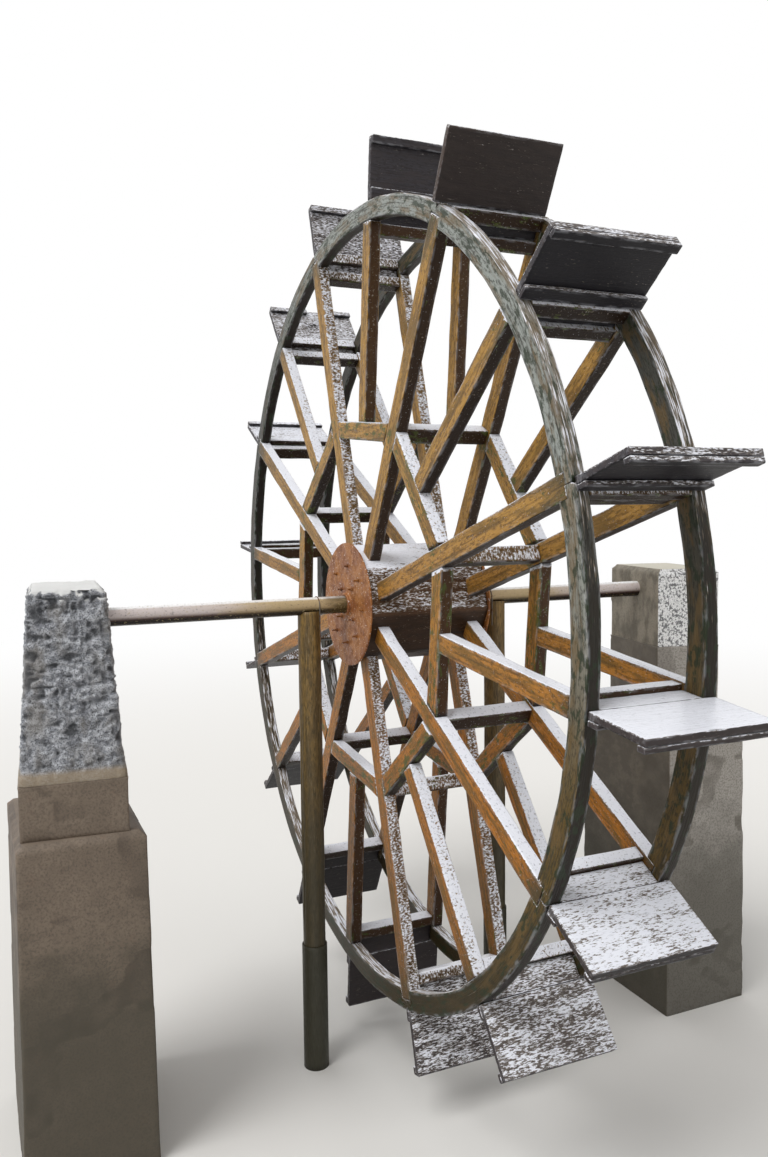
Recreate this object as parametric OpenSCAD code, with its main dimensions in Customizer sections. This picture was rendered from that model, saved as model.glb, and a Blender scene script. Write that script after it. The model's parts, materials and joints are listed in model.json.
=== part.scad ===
// Timber water wheel that turns on a fixed steel pipe between two granite piers.
// The pipe lies along Y, its axis over the origin, and the floor is at Z = 0.
// The near side is -Y. Spoke places are counted clockwise as seen from the near side.

/* [Shaft] */
// Height of the shaft's axis above the foot of the piers
shaft_h = 2950; // [2880:5:3400]
// Outside diameter of the shaft pipe
shaft_d = 108; // [80:1:140]
// Wall of the shaft pipe
shaft_wall = 6; // [4:0.5:12]
// Length of pipe that runs on past the middle of each pier
shaft_past_mid = 30; // [-80:5:120]
// Running clearance all round the pipe in the hub plates
running_gap = 0.08; // [0.02:0.01:0.1]
// Clearance all round a piece that is bedded, cupped or tied and doesn't turn
bed_gap = 0.3; // [0.1:0.1:0.8]

/* [Rims and frames] */
// Radius of the rims over their outer faces
rim_r = 2425; // [2300:5:2500]
// Depth of the rims, measured along a radius
rim_depth = 120; // [100:5:160]
// Thickness of each side frame, measured along the shaft
frame_t = 76; // [60:2:100]
// Width of the wheel over both side frames
wheel_w = 684; // [600:2:800]
// Angle of the first long spoke above the horizontal, in degrees
first_spoke_angle = 61.8; // [50:0.1:75]
// Depth of the V cut where two felloes meet at the outer face
felloe_v = 14; // [6:1:25]
// Depth that the end of a long spoke is let into the rim
spoke_seat = 60; // [30:5:80]

/* [Spokes and braces] */
// Face width of the long spokes
long_spoke_w = 118; // [90:2:150]
// Face width of the short spokes
short_spoke_w = 108; // [80:2:140]
// Distance from the axis to the middle of the octagon braces
brace_r = 1076; // [950:2:1200]
// Face width of the octagon braces
brace_w = 112; // [90:2:140]
// Width of the tenon that enters the hub
tenon_w = 70; // [50:2:84]
// Thickness of the tenon that enters the hub
tenon_t = 40; // [24:2:50]
// Length of the tenon that enters the hub
tenon_l = 70; // [40:5:110]

/* [Hub] */
// Distance from the axis to the flats of the hub drum
hub_flat_r = 350; // [310:5:400]
// Stretch of hub that stands out past each side frame, plate included
hub_overhang = 65; // [45:1:120]
// Clearance all round the pipe in the bore of the timber drum
drum_gap = 6; // [4:0.5:12]
// Diameter of the steel hub plates
plate_d = 770; // [720:5:860]
// Thickness of the steel hub plates
plate_t = 12; // [8:1:20]
// Outside diameter of the bearing collar on each hub plate
collar_d = 142; // [130:2:200]
// Length of the bearing collar in front of its plate
collar_l = 22; // [12:1:40]

/* [Rungs] */
// Distance from the axis to the middle of the inner rungs
inner_rung_r = 1165; // [1090:5:1300]
// Side of the square inner rungs
inner_rung_w = 90; // [60:2:110]
// Depth of the rim rungs, measured along a radius
rim_rung_depth = 70; // [50:2:90]
// Width of the rim rungs across the radius
rim_rung_w = 90; // [60:2:106]
// Space between the inner face of the rims and the rim rungs
rim_rung_drop = 10; // [4:1:40]

/* [Paddles] */
// Stretch of each paddle that stands out past the rims
paddle_reach = 360; // [240:5:400]
// Distance that the paddles' ends lie inside the outer faces of the side frames
paddle_inset = 10; // [0:1:40]
// Thickness of the paddle boards
board_t = 36; // [24:1:50]
// Width of the lip along the outer edge of each paddle
lip_w = 50; // [30:2:80]
// Thickness of the lip
lip_t = 28; // [16:1:40]
// Place round the wheel of the paddle whose lip is broken
broken_lip_place = 13; // [0:1:15]
// Length of the stretch that has broken away
lip_gap_l = 140; // [40:10:240]
// Distance from the middle of that lip to the middle of the break, towards the far side
lip_gap_shift = 35; // [0:5:160]
// Place round the wheel of the paddle that has lost its batten and its lip
bare_place = 0; // [0:1:15]
// Distance that this paddle has moved towards the near side
bare_shift = 35; // [0:5:60]
// Width of the batten that seats each paddle on the rims
batten_w = 70; // [40:2:100]
// Thickness of the batten
batten_t = 28; // [16:1:40]
// Width of the cleat behind each inner board
cleat_w = 75; // [50:1:100]
// Thickness of the cleat
cleat_t = 44; // [24:1:60]

/* [Props] */
// Distance along the shaft from the middle of the wheel to each round prop
prop_y = 660; // [620:5:900]
// Diameter of the round props
prop_d = 146; // [130:2:180]
// Depth that the head of a prop is cupped round the shaft
prop_cup = 24; // [8:1:40]
// Height of the socket round the foot of each prop
socket_h = 803; // [400:5:1200]
// Wall of the prop socket
socket_wall = 6; // [5:1:30]
// Thickness of the wire that ties the shaft to each prop
wire_d = 6; // [4:0.5:8]
// Length of the wire's legs below the shaft's axis
wire_leg = 190; // [100:5:260]

/* [Piers] */
// Distance along the shaft from the middle of the wheel to the middle of each pier
pier_y = 2090; // [1800:10:2400]
// Length of the piers' stones along the stream, at their top
pier_l = 720; // [640:10:740]
// Width of the near pier at its top
near_pier_top_w = 416; // [400:4:428]
// Turn of the near pier's stones from the line square to the shaft, in degrees clockwise from above
near_pier_turn = 4; // [0:0.5:6]
// Height of the near pier's top above the shaft's axis
near_pier_rise = 195; // [120:5:240]
// Height of the near pier's granite block
near_block_h = 1005; // [700:5:1100]
// Height of the near pier's smoother base block
near_base_h = 292; // [200:4:420]
// Width of the far pier
far_pier_top_w = 480; // [420:5:490]
// Turn of the far pier's stones, in degrees clockwise from above
far_pier_turn = 11; // [0:0.5:12]
// Height of the far pier's top above the shaft's axis
far_pier_rise = 155; // [120:5:240]
// Height of the far pier's granite block
far_block_h = 542.5; // [400:2.5:900]
// Height of the far pier's smoother base block
far_base_h = 562.5; // [400:2.5:700]
// Batter of the near pier's block, as a share of its height
near_batter = 0.068; // [0:0.004:0.068]
// Length of the masonry footings along the stream, where they stand on the ground
footing_l = 1000; // [980:10:1200]
// Width of the masonry footings where they stand on the ground
footing_w = 700; // [700:5:900]
// Batter of the footings, as a share of their height
footing_batter = 0.01; // [0:0.005:0.02]
// Bevel round the top of the granite blocks
block_bevel = 32; // [6:1:40]

/* [Hidden] */
$fn = 96;

// Sixteen places round the wheel: long spokes at even places, short ones at odd places
places = 16;
pitch = 360 / places;
long_places = [0 : 2 : places - 1];
short_places = [1 : 2 : places - 1];
all_places = [0 : places - 1];
dressed_places = [for (k = all_places) if (k != bare_place) k];

shaft_r = shaft_d / 2;
rim_in_r = rim_r - rim_depth;
half_w = wheel_w / 2;
bay_w = wheel_w - 2 * frame_t;
paddle_w = wheel_w - 2 * paddle_inset;
tip_r = rim_r + paddle_reach;
brace_in = brace_r - brace_w / 2;
brace_out = brace_r + brace_w / 2;
drum_l = wheel_w + 2 * (hub_overhang - plate_t);
rung_out_r = rim_in_r - rim_rung_drop;
prop_r = prop_d / 2;
shaft_half_l = pier_y + shaft_past_mid;
// Extra length of a cutting shape past the surface that it cuts
past = 1;
// Sides of the circles that the long curves of the rims are drawn with
rim_sides = 288;

// Colours as the weather has left them
weathered_oak = "#8A6A34";
wet_rim = "#6B6547";
dark_board = "#5A534B";
hub_timber = "#5A4530";
rust = "#8F4F2E";
pipe_steel = "#6B5648";
prop_wood = "#7B6232";
granite = "#8D9096";
cut_stone = "#746B61";
wire_grey = "#77726C";

// Turns a shape drawn in the plane of the wheel upright, with its Z towards the near side
module on_shaft() translate([0, 0, shaft_h]) rotate([90, 0, 0]) children();

// Turns a shape that lies along X to a spoke place, with +Y anticlockwise
module at_place(k) rotate([0, 0, first_spoke_angle - k * pitch]) children();

// A straight bar from one radius to another, w wide and t thick, its inner face at z0
module radial_bar(r0, r1, w, z0, t) translate([r0, -w / 2, z0]) cube([r1 - r0, w, t]);

// Height of a side frame's lower face: side is 1 near and -1 far
function frame_z(side) = side > 0 ? half_w - frame_t : -half_w;

// Long spoke with a shouldered tenon at the hub and a square end let into the rim
module long_spoke(side) {
    z = frame_z(side);
    radial_bar(hub_flat_r, rim_in_r + spoke_seat, long_spoke_w, z, frame_t);
    hub_tenon(side, 0);
}

// Tenon of a long spoke, and the mortise for it when grown past the flat of the hub
module hub_tenon(side, grow) {
    z = frame_z(side) + (frame_t - tenon_t) / 2;
    radial_bar(hub_flat_r - tenon_l, hub_flat_r + grow, tenon_w, z, tenon_t);
}

module long_spokes(side) {
    color(weathered_oak) on_shaft() for (k = long_places) at_place(k) long_spoke(side);
}

// Short spoke from the outer edge of a brace to the inner face of the rim
module short_spoke(side) {
    z = frame_z(side);
    intersection() {
        radial_bar(brace_out, rim_r, short_spoke_w, z, frame_t);
        translate([0, 0, z - past]) cylinder(h = frame_t + 2 * past, r = rim_in_r, $fn = rim_sides);
    }
}

module short_spokes(side) {
    color(weathered_oak) on_shaft() for (k = short_places) at_place(k) short_spoke(side);
}

// Half length of a brace at radius r, where it meets the sides of the two long spokes
function brace_reach(r) = r * tan(pitch) - long_spoke_w / 2 / cos(pitch);

module brace(side) {
    translate([0, 0, frame_z(side)]) linear_extrude(frame_t) polygon([
        [brace_in, -brace_reach(brace_in)],
        [brace_out, -brace_reach(brace_out)],
        [brace_out, brace_reach(brace_out)],
        [brace_in, brace_reach(brace_in)]
    ]);
}

module braces(side) {
    color(weathered_oak) on_shaft() for (k = short_places) at_place(k) brace(side);
}

// Notch in the rim for the end of a long spoke, with the V cut outside it
module felloe_end_cut(side) {
    z = frame_z(side) - past;
    radial_bar(0, rim_in_r + spoke_seat, long_spoke_w, z, frame_t + 2 * past);
    translate([0, 0, z]) linear_extrude(frame_t + 2 * past) polygon([
        [rim_r - felloe_v, 0],
        [rim_r + felloe_v, 1.2 * felloe_v],
        [rim_r + felloe_v, -1.2 * felloe_v]
    ]);
}

// One sawn segment of a rim, from long spoke k to the next one clockwise
module felloe(side, k) {
    difference() {
        at_place(k + 2) rotate_extrude(angle = 2 * pitch, $fn = rim_sides)
            translate([rim_in_r, frame_z(side)]) square([rim_depth, frame_t]);
        at_place(k) felloe_end_cut(side);
        at_place(k + 2) felloe_end_cut(side);
    }
}

module felloes(side, first) {
    color(wet_rim) on_shaft() for (k = [first : 4 : places - 1]) felloe(side, k);
}

// Octagonal timber drum with its flats square to the long spokes and a mortise for each
module hub_drum() {
    color(hub_timber) on_shaft() difference() {
        at_place(0) rotate([0, 0, pitch])
            cylinder(h = drum_l, r = hub_flat_r / cos(pitch), center = true, $fn = 8);
        cylinder(h = drum_l + 2 * past, r = shaft_r + drum_gap, center = true);
        for (k = long_places, side = [-1, 1]) at_place(k) hub_tenon(side, past);
    }
}

// Steel plate on the end of the drum, with the collar that runs on the pipe
module hub_plate() {
    difference() {
        union() {
            cylinder(h = plate_t, d = plate_d);
            cylinder(h = plate_t + collar_l, d = collar_d);
        }
        translate([0, 0, -past]) cylinder(h = plate_t + collar_l + 2 * past, r = shaft_r + running_gap);
    }
}

module hub_plates() {
    color(rust) on_shaft() {
        translate([0, 0, drum_l / 2]) hub_plate();
        mirror([0, 0, 1]) translate([0, 0, drum_l / 2]) hub_plate();
    }
}

module inner_rungs() {
    half = inner_rung_w / 2;
    color(weathered_oak) on_shaft() for (k = long_places) at_place(k)
        radial_bar(inner_rung_r - half, inner_rung_r + half, inner_rung_w, -bay_w / 2, bay_w);
}

module rim_rungs() {
    color(weathered_oak) on_shaft() for (k = all_places) at_place(k)
        radial_bar(rung_out_r - rim_rung_depth, rung_out_r, rim_rung_w, -bay_w / 2, bay_w);
}

// Board between the rims, from the rim rung out to the rims' outer face
module inner_boards() {
    color(dark_board) on_shaft() for (k = all_places) at_place(k)
        radial_bar(rung_out_r, rim_r, board_t, -bay_w / 2, bay_w);
}

// Strip on the clockwise face of a board, from radius r0 to r1, t thick and l long
module face_strip(r0, r1, t, l) translate([r0, -board_t / 2 - t, -l / 2]) cube([r1 - r0, t, l]);

module paddle_cleats() {
    color(weathered_oak) on_shaft() for (k = all_places) at_place(k)
        face_strip(rim_r - cleat_w, rim_r, cleat_t, bay_w);
}

module paddle_battens() {
    color(dark_board) on_shaft() for (k = dressed_places) at_place(k)
        face_strip(rim_r, rim_r + batten_w, batten_t, paddle_w);
}

// A stretch of one lip has broken away
module paddle_lips() {
    color(dark_board) on_shaft() for (k = dressed_places) at_place(k) difference() {
        face_strip(tip_r - lip_w, tip_r, lip_t, paddle_w);
        if (k == broken_lip_place)
            translate([tip_r - lip_w - past, -board_t / 2 - lip_t - past, -lip_gap_shift - lip_gap_l / 2])
                cube([lip_w + 2 * past, lip_t + past, lip_gap_l]);
    }
}

// Outer board, which stands on the outer faces of both rims
module paddle(k) {
    z = -paddle_w / 2 + (k == bare_place ? bare_shift : 0);
    color(dark_board) on_shaft() at_place(k) radial_bar(rim_r, tip_r, board_t, z, paddle_w);
}

// Hollow pipe, bedded in both piers
module shaft_pipe() {
    color(pipe_steel) on_shaft() difference() {
        cylinder(h = 2 * shaft_half_l, r = shaft_r, center = true);
        cylinder(h = 2 * shaft_half_l + 2 * past, r = shaft_r - shaft_wall, center = true);
    }
}

// Room that the pipe takes in what it is bedded in or lies on
module shaft_bore() on_shaft() cylinder(h = 2 * shaft_half_l, r = shaft_r + bed_gap, center = true);

// Round post under the pipe, its head cupped to hold it: side is -1 near and 1 far
module prop(side) {
    color(prop_wood) difference() {
        translate([0, side * prop_y, 0]) cylinder(h = shaft_h - shaft_r + prop_cup, d = prop_d);
        shaft_bore();
    }
}

// Pipe sockets that stand on the stream bed and hold the feet of the props
module prop_sockets() {
    color(pipe_steel) for (side = [-1, 1]) translate([0, side * prop_y, 0]) difference() {
        cylinder(h = socket_h, r = prop_r + bed_gap + socket_wall);
        translate([0, 0, -past]) cylinder(h = socket_h + 2 * past, r = prop_r + bed_gap);
    }
}

// The wire goes over the pipe and down both sides, just past the round of the prop
wire_r = wire_d / 2;
tie_r = shaft_r + bed_gap + wire_r;
tie_offset = sqrt((prop_r + bed_gap + wire_r) ^ 2 - tie_r ^ 2);

module shaft_tie() {
    rotate([90, 0, 0]) rotate_extrude(angle = 180, $fn = 40)
        translate([tie_r, 0]) circle(r = wire_r, $fn = 20);
    for (x = [-tie_r, tie_r]) translate([x, 0, -wire_leg]) cylinder(h = wire_leg, r = wire_r, $fn = 20);
}

module shaft_ties() {
    color(wire_grey) for (side = [-1, 1])
        translate([0, side * (prop_y - tie_offset), shaft_h]) shaft_tie();
}

// Outline of a battered block: foot w0 wide, top w1 wide, h high, with bevelled top corners
module block_outline(w0, w1, h, bevel) {
    polygon([
        [-w0 / 2, 0], [w0 / 2, 0],
        [w1 / 2, h - bevel], [w1 / 2 - bevel, h],
        [-w1 / 2 + bevel, h], [-w1 / 2, h - bevel]
    ]);
}

// Block that batters on all four sides, foot and top as [length, width]
module battered_block(foot, top, h, bevel) {
    intersection() {
        rotate([90, 0, 0]) linear_extrude(2 * foot.y, center = true) block_outline(foot.x, top.x, h, bevel);
        rotate([90, 0, 90]) linear_extrude(2 * foot.x, center = true) block_outline(foot.y, top.y, h, bevel);
    }
}

// Footing of a pier, h high
module footing(h) {
    foot = [footing_l, footing_w];
    battered_block(foot, foot - 2 * footing_batter * h * [1, 1], h, block_bevel);
}

near_block_z = shaft_h + near_pier_rise - near_block_h;
near_base_z = near_block_z - near_base_h;
near_top = [pier_l, near_pier_top_w];
near_joint = near_top + 2 * near_batter * near_block_h * [1, 1];
far_block_z = shaft_h + far_pier_rise - far_block_h;
far_base_z = far_block_z - far_base_h;
far_plan = [pier_l, far_pier_top_w];

module near_pier_block() {
    color(granite) difference() {
        translate([0, -pier_y, near_block_z]) rotate([0, 0, -near_pier_turn])
            battered_block(near_joint, near_top, near_block_h, block_bevel);
        shaft_bore();
    }
}

module near_pier_base() {
    color(cut_stone) translate([0, -pier_y, near_base_z]) rotate([0, 0, -near_pier_turn])
        battered_block(near_joint, near_joint, near_base_h, 0.01);
}

module near_pier_footing() {
    color(cut_stone) translate([0, -pier_y, 0]) footing(near_base_z);
}

module far_pier_block() {
    color(granite) difference() {
        translate([0, pier_y, far_block_z]) rotate([0, 0, -far_pier_turn])
            battered_block(far_plan, far_plan, far_block_h, block_bevel);
        shaft_bore();
    }
}

module far_pier_base() {
    color(cut_stone) translate([0, pier_y, far_base_z]) rotate([0, 0, -far_pier_turn])
        battered_block(far_plan, far_plan, far_base_h, 0.01);
}

module far_pier_footing() {
    color(cut_stone) translate([0, pier_y, 0]) footing(far_base_z);
}

near_pier_footing();
near_pier_base();
near_pier_block();
far_pier_footing();
far_pier_base();
far_pier_block();
shaft_pipe();
prop(-1);  // near_prop
prop(1);  // far_prop
prop_sockets();
shaft_ties();
hub_drum();
hub_plates();
long_spokes(1);  // near_long_spokes
long_spokes(-1);  // far_long_spokes
short_spokes(1);  // near_short_spokes
short_spokes(-1);  // far_short_spokes
braces(1);  // near_braces
braces(-1);  // far_braces
felloes(1, 0);  // near_even_felloes
felloes(1, 2);  // near_odd_felloes
felloes(-1, 0);  // far_even_felloes
felloes(-1, 2);  // far_odd_felloes
inner_rungs();
rim_rungs();
inner_boards();
paddle_cleats();
paddle_battens();
paddle_lips();
paddle(0);  // paddle_01
paddle(1);  // paddle_02
paddle(2);  // paddle_03
paddle(3);  // paddle_04
paddle(4);  // paddle_05
paddle(5);  // paddle_06
paddle(6);  // paddle_07
paddle(7);  // paddle_08
paddle(8);  // paddle_09
paddle(9);  // paddle_10
paddle(10);  // paddle_11
paddle(11);  // paddle_12
paddle(12);  // paddle_13
paddle(13);  // paddle_14
paddle(14);  // paddle_15
paddle(15);  // paddle_16
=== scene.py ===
"""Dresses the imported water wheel: worn wet timber, rusted steel and split granite."""

import itertools
import json
import math
from typing import NamedTuple

import bpy
import numpy as np
from mathutils import Matrix, Vector


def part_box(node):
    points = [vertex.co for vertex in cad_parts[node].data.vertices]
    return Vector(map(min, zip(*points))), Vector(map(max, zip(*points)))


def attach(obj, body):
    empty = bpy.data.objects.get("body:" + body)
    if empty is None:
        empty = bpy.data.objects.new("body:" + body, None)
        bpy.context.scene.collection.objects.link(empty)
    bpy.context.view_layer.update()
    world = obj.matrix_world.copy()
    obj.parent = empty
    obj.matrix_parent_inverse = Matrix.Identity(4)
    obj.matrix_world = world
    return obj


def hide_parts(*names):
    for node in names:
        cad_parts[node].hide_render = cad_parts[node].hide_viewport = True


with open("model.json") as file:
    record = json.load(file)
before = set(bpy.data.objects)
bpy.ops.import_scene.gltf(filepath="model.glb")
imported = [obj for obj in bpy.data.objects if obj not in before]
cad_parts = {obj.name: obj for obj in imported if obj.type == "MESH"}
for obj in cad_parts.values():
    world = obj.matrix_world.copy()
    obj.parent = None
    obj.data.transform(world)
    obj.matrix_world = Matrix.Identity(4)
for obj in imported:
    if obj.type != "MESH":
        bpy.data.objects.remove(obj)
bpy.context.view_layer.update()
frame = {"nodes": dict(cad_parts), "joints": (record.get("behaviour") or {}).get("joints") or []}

bl_info = {
    "name": "Water Wheel",
    "version": (1, 0, 0),
    "blender": (4, 5, 0),
    "location": "3D View > Sidebar > Water Wheel",
    "description": "Worn timber, steel and granite for the water wheel",
    "category": "Object",
}

MM = 0.001
SHAFT_H = frame["joints"][0]["pos_m"][2]
PLACES = 16
PITCH = 2 * math.pi / PLACES
LONG_PLACES = range(0, PLACES, 2)
SHORT_PLACES = range(1, PLACES, 2)
ALL_PLACES = range(PLACES)
NEAR = 1
FAR = -1
SIDES = ((NEAR, "near"), (FAR, "far"))


def linear(hex_colour):
    """An sRGB colour written as #RRGGBB, as linear red, green and blue."""
    channels = [int(hex_colour[i:i + 2], 16) / 255 for i in (1, 3, 5)]
    return tuple(c / 12.92 if c <= 0.04045 else ((c + 0.055) / 1.055) ** 2.4 for c in channels)


def node_points(name):
    """The corners of a CAD node as rows of x, y, z."""
    mesh = frame["nodes"][name].data
    points = np.zeros(len(mesh.vertices) * 3, np.float32)
    mesh.vertices.foreach_get("co", points)
    return points.reshape(-1, 3).astype(float)


def reach(name):
    """Greatest distance of a CAD node's corners from the shaft's axis."""
    points = node_points(name)
    return float(np.hypot(points[:, 0], points[:, 2] - SHAFT_H).max())


# Sizes that the frame gives
FIRST_PADDLE = node_points("paddle_01").mean(axis=0)
FIRST_ANGLE = math.atan2(FIRST_PADDLE[2] - SHAFT_H, FIRST_PADDLE[0])
RIM_R = reach("near_even_felloes")
WHEEL_HALF = -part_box("near_even_felloes")[0].y
FRAME_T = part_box("near_even_felloes")[1].y + WHEEL_HALF
BAY_HALF = WHEEL_HALF - FRAME_T
PADDLE_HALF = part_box("paddle_02")[1].y
DRUM_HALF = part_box("hub_drum")[1].y
PLATE_R = reach("hub_plates")
PIPE_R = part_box("shaft_pipe")[1].x
PIPE_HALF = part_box("shaft_pipe")[1].y
PROP_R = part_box("near_prop")[1].x
PROP_Y = (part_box("far_prop")[0].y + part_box("far_prop")[1].y) / 2
SOCKET_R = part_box("prop_sockets")[1].x
SOCKET_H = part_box("prop_sockets")[1].z

# One paddle has lost its batten and lip and has moved along the shaft, and one lip is broken
BARE_PLACE = 0
BARE_SHIFT = -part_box("paddle_01")[0].y - PADDLE_HALF
DRESSED_PLACES = [k for k in ALL_PLACES if k != BARE_PLACE]
BROKEN_PLACE = 13
BREAK = (-105 * MM, 35 * MM)

# Sizes of the timbers, plates, pipe and blocks, as they are in the frame, and the piers' turns in degrees
RIM_DEPTH = 120 * MM
SPOKE_SEAT = 60 * MM
FELLOE_V = 14 * MM
LONG_W = 118 * MM
SHORT_W = 108 * MM
BRACE_R = 1076 * MM
BRACE_W = 112 * MM
HUB_FLAT_R = 350 * MM
PLATE_T = 12 * MM
RUNNING_GAP = 0.08 * MM
COLLAR_R = 71 * MM
COLLAR_L = 22 * MM
INNER_RUNG_R = 1165 * MM
INNER_RUNG_W = 90 * MM
RIM_RUNG_DEPTH = 70 * MM
RIM_RUNG_W = 90 * MM
RIM_RUNG_DROP = 10 * MM
PADDLE_REACH = 360 * MM
BOARD_T = 36 * MM
LIP_W = 50 * MM
LIP_T = 28 * MM
BATTEN_W = 70 * MM
BATTEN_T = 28 * MM
CLEAT_W = 75 * MM
CLEAT_T = 44 * MM
PIPE_WALL = 6 * MM
PROP_CUP = 24 * MM
BED_GAP = 0.3 * MM
PIER_BEVEL = 32 * MM
NEAR_TURN = -4
FAR_TURN = -11

# Sizes that only the dressed pieces have: how far a spoke's end runs into the drum, the bevel of the hub
# plate's collar, and the rotted hollow beside the broken lip, with its middle's distance from the axis
SPOKE_END = 20 * MM
COLLAR_BEVEL = 4 * MM
ROT_R = 2570 * MM
ROT_LONG = 65 * MM
ROT_WIDE = 70 * MM
ROT_DEPTH = 20 * MM

# Rings of bolts on a hub plate: radius, count, and the first one's angle in degrees
BOLT_RINGS = ((250 * MM, 8, 132), (133 * MM, 4, 47))

RIM_IN_R = RIM_R - RIM_DEPTH
RIM_MID_R = RIM_R - RIM_DEPTH / 2
TIP_R = RIM_R + PADDLE_REACH
RUNG_OUT_R = RIM_IN_R - RIM_RUNG_DROP
BAY = (-BAY_HALF, BAY_HALF)
PADDLE_ENDS = (-PADDLE_HALF, PADDLE_HALF)


# Noise and surfaces

AXIS_PRIMES = (73856093, 19349663, 83492791)
SEED_PRIME = 49979687
SEED_START = 1013
MIX_PRIME = 1274126177
LOW_32_BITS = 0xFFFFFFFF
LOW_16_BITS = 0xFFFF


def lattice_noise(points, seed):
    """Smooth noise from 0 to 1: a random value at each corner of a unit cube lattice, blended between the
    eight corners round a point with the weight 3t^2 - 2t^3 along each axis."""
    cell = np.floor(points).astype(np.int64)
    t = points - cell
    t = t * t * (3 - 2 * t)
    total = np.zeros(points.shape[:-1])
    for corner in itertools.product((0, 1), repeat=3):
        mixed = seed * SEED_PRIME + SEED_START
        for i in range(3):
            mixed = mixed ^ (cell[..., i] + corner[i]) * AXIS_PRIMES[i]
        mixed = mixed & LOW_32_BITS
        mixed = (mixed ^ (mixed >> 13)) * MIX_PRIME & LOW_32_BITS
        value = ((mixed ^ (mixed >> 16)) & LOW_16_BITS) / LOW_16_BITS
        weight = np.prod([t[..., i] if corner[i] else 1 - t[..., i] for i in range(3)], axis=0)
        total += weight * value
    return total


def layered_noise(points, size, octaves, seed):
    """Lattice noise with lumps of the given size along each axis, and finer layers, each with half the size
    and half the strength of the last."""
    total, strength, sum_of = 0, 1.0, 0
    scaled = points / np.asarray(size, float)
    for i in range(octaves):
        total = total + strength * lattice_noise(scaled * 2 ** i, seed + 17 * i)
        sum_of += strength
        strength /= 2
    return total / sum_of


def steps(start, end, spacing):
    """Evenly spaced stations from start to end."""
    return np.linspace(start, end, max(3, int(round(abs(end - start) / spacing)) + 1))


def full_turn(around):
    """Evenly spaced angles of a full turn."""
    return np.linspace(0, 2 * math.pi, around, endpoint=False)


# Points on the quarter circle of each worn edge
ARC_POINTS = 4


def rounded_rings(low_a, high_a, low_b, high_b, radius, count_a, count_b):
    """Rings of points round a rectangle with rounded corners, one ring for each station along a timber.

    Each corner is a quarter circle about a centre that lies its radius inside both edges. Each side is a
    straight run from the end of one quarter circle to the start of the next.
    """
    turn = np.linspace(0, math.pi / 2, ARC_POINTS)
    sign_a = (1, -1, -1, 1)
    sign_b = (1, 1, -1, -1)
    arcs, normals = [], []
    for c in range(4):
        edge_a = high_a if sign_a[c] > 0 else low_a
        edge_b = high_b if sign_b[c] > 0 else low_b
        centre = np.stack([edge_a - sign_a[c] * radius[:, c], edge_b - sign_b[c] * radius[:, c]], axis=-1)
        direction = np.stack([np.cos(turn + c * math.pi / 2), np.sin(turn + c * math.pi / 2)], axis=-1)
        arcs.append(centre[:, None] + radius[:, c, None, None] * direction[None])
        normals.append(np.broadcast_to(direction, arcs[-1].shape))
    points, outward, edge = [], [], []
    for c in range(4):
        count = count_a if c % 2 == 0 else count_b
        share = (np.arange(count) + 1)[None, :, None] / (count + 1)
        start, end = arcs[c][:, -1:], arcs[(c + 1) % 4][:, :1]
        points += [arcs[c], start + (end - start) * share]
        outward += [normals[c], np.broadcast_to(normals[c][:, -1:], points[-1].shape)]
        edge += [np.ones(arcs[c].shape[:2]), np.zeros(points[-1].shape[:2])]
    return (np.concatenate(parts, axis=1) for parts in (points, outward, edge))


def skin(count, around):
    """Faces of a closed tube of rings, whose two tips are its last points.

    They are quads between neighbouring rings, and a fan of triangles from each end ring to its tip.
    """
    index = np.arange(count * around).reshape(count, around)
    after = np.roll(index, -1, axis=1)
    quads = np.stack([index[:-1], after[:-1], after[1:], index[1:]], axis=-1).reshape(-1, 4)
    first = np.stack([after[0], index[0], np.full(around, index.size)], axis=-1)
    last = np.stack([index[-1], after[-1], np.full(around, index.size + 1)], axis=-1)
    return quads, np.concatenate([first, last])


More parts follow.
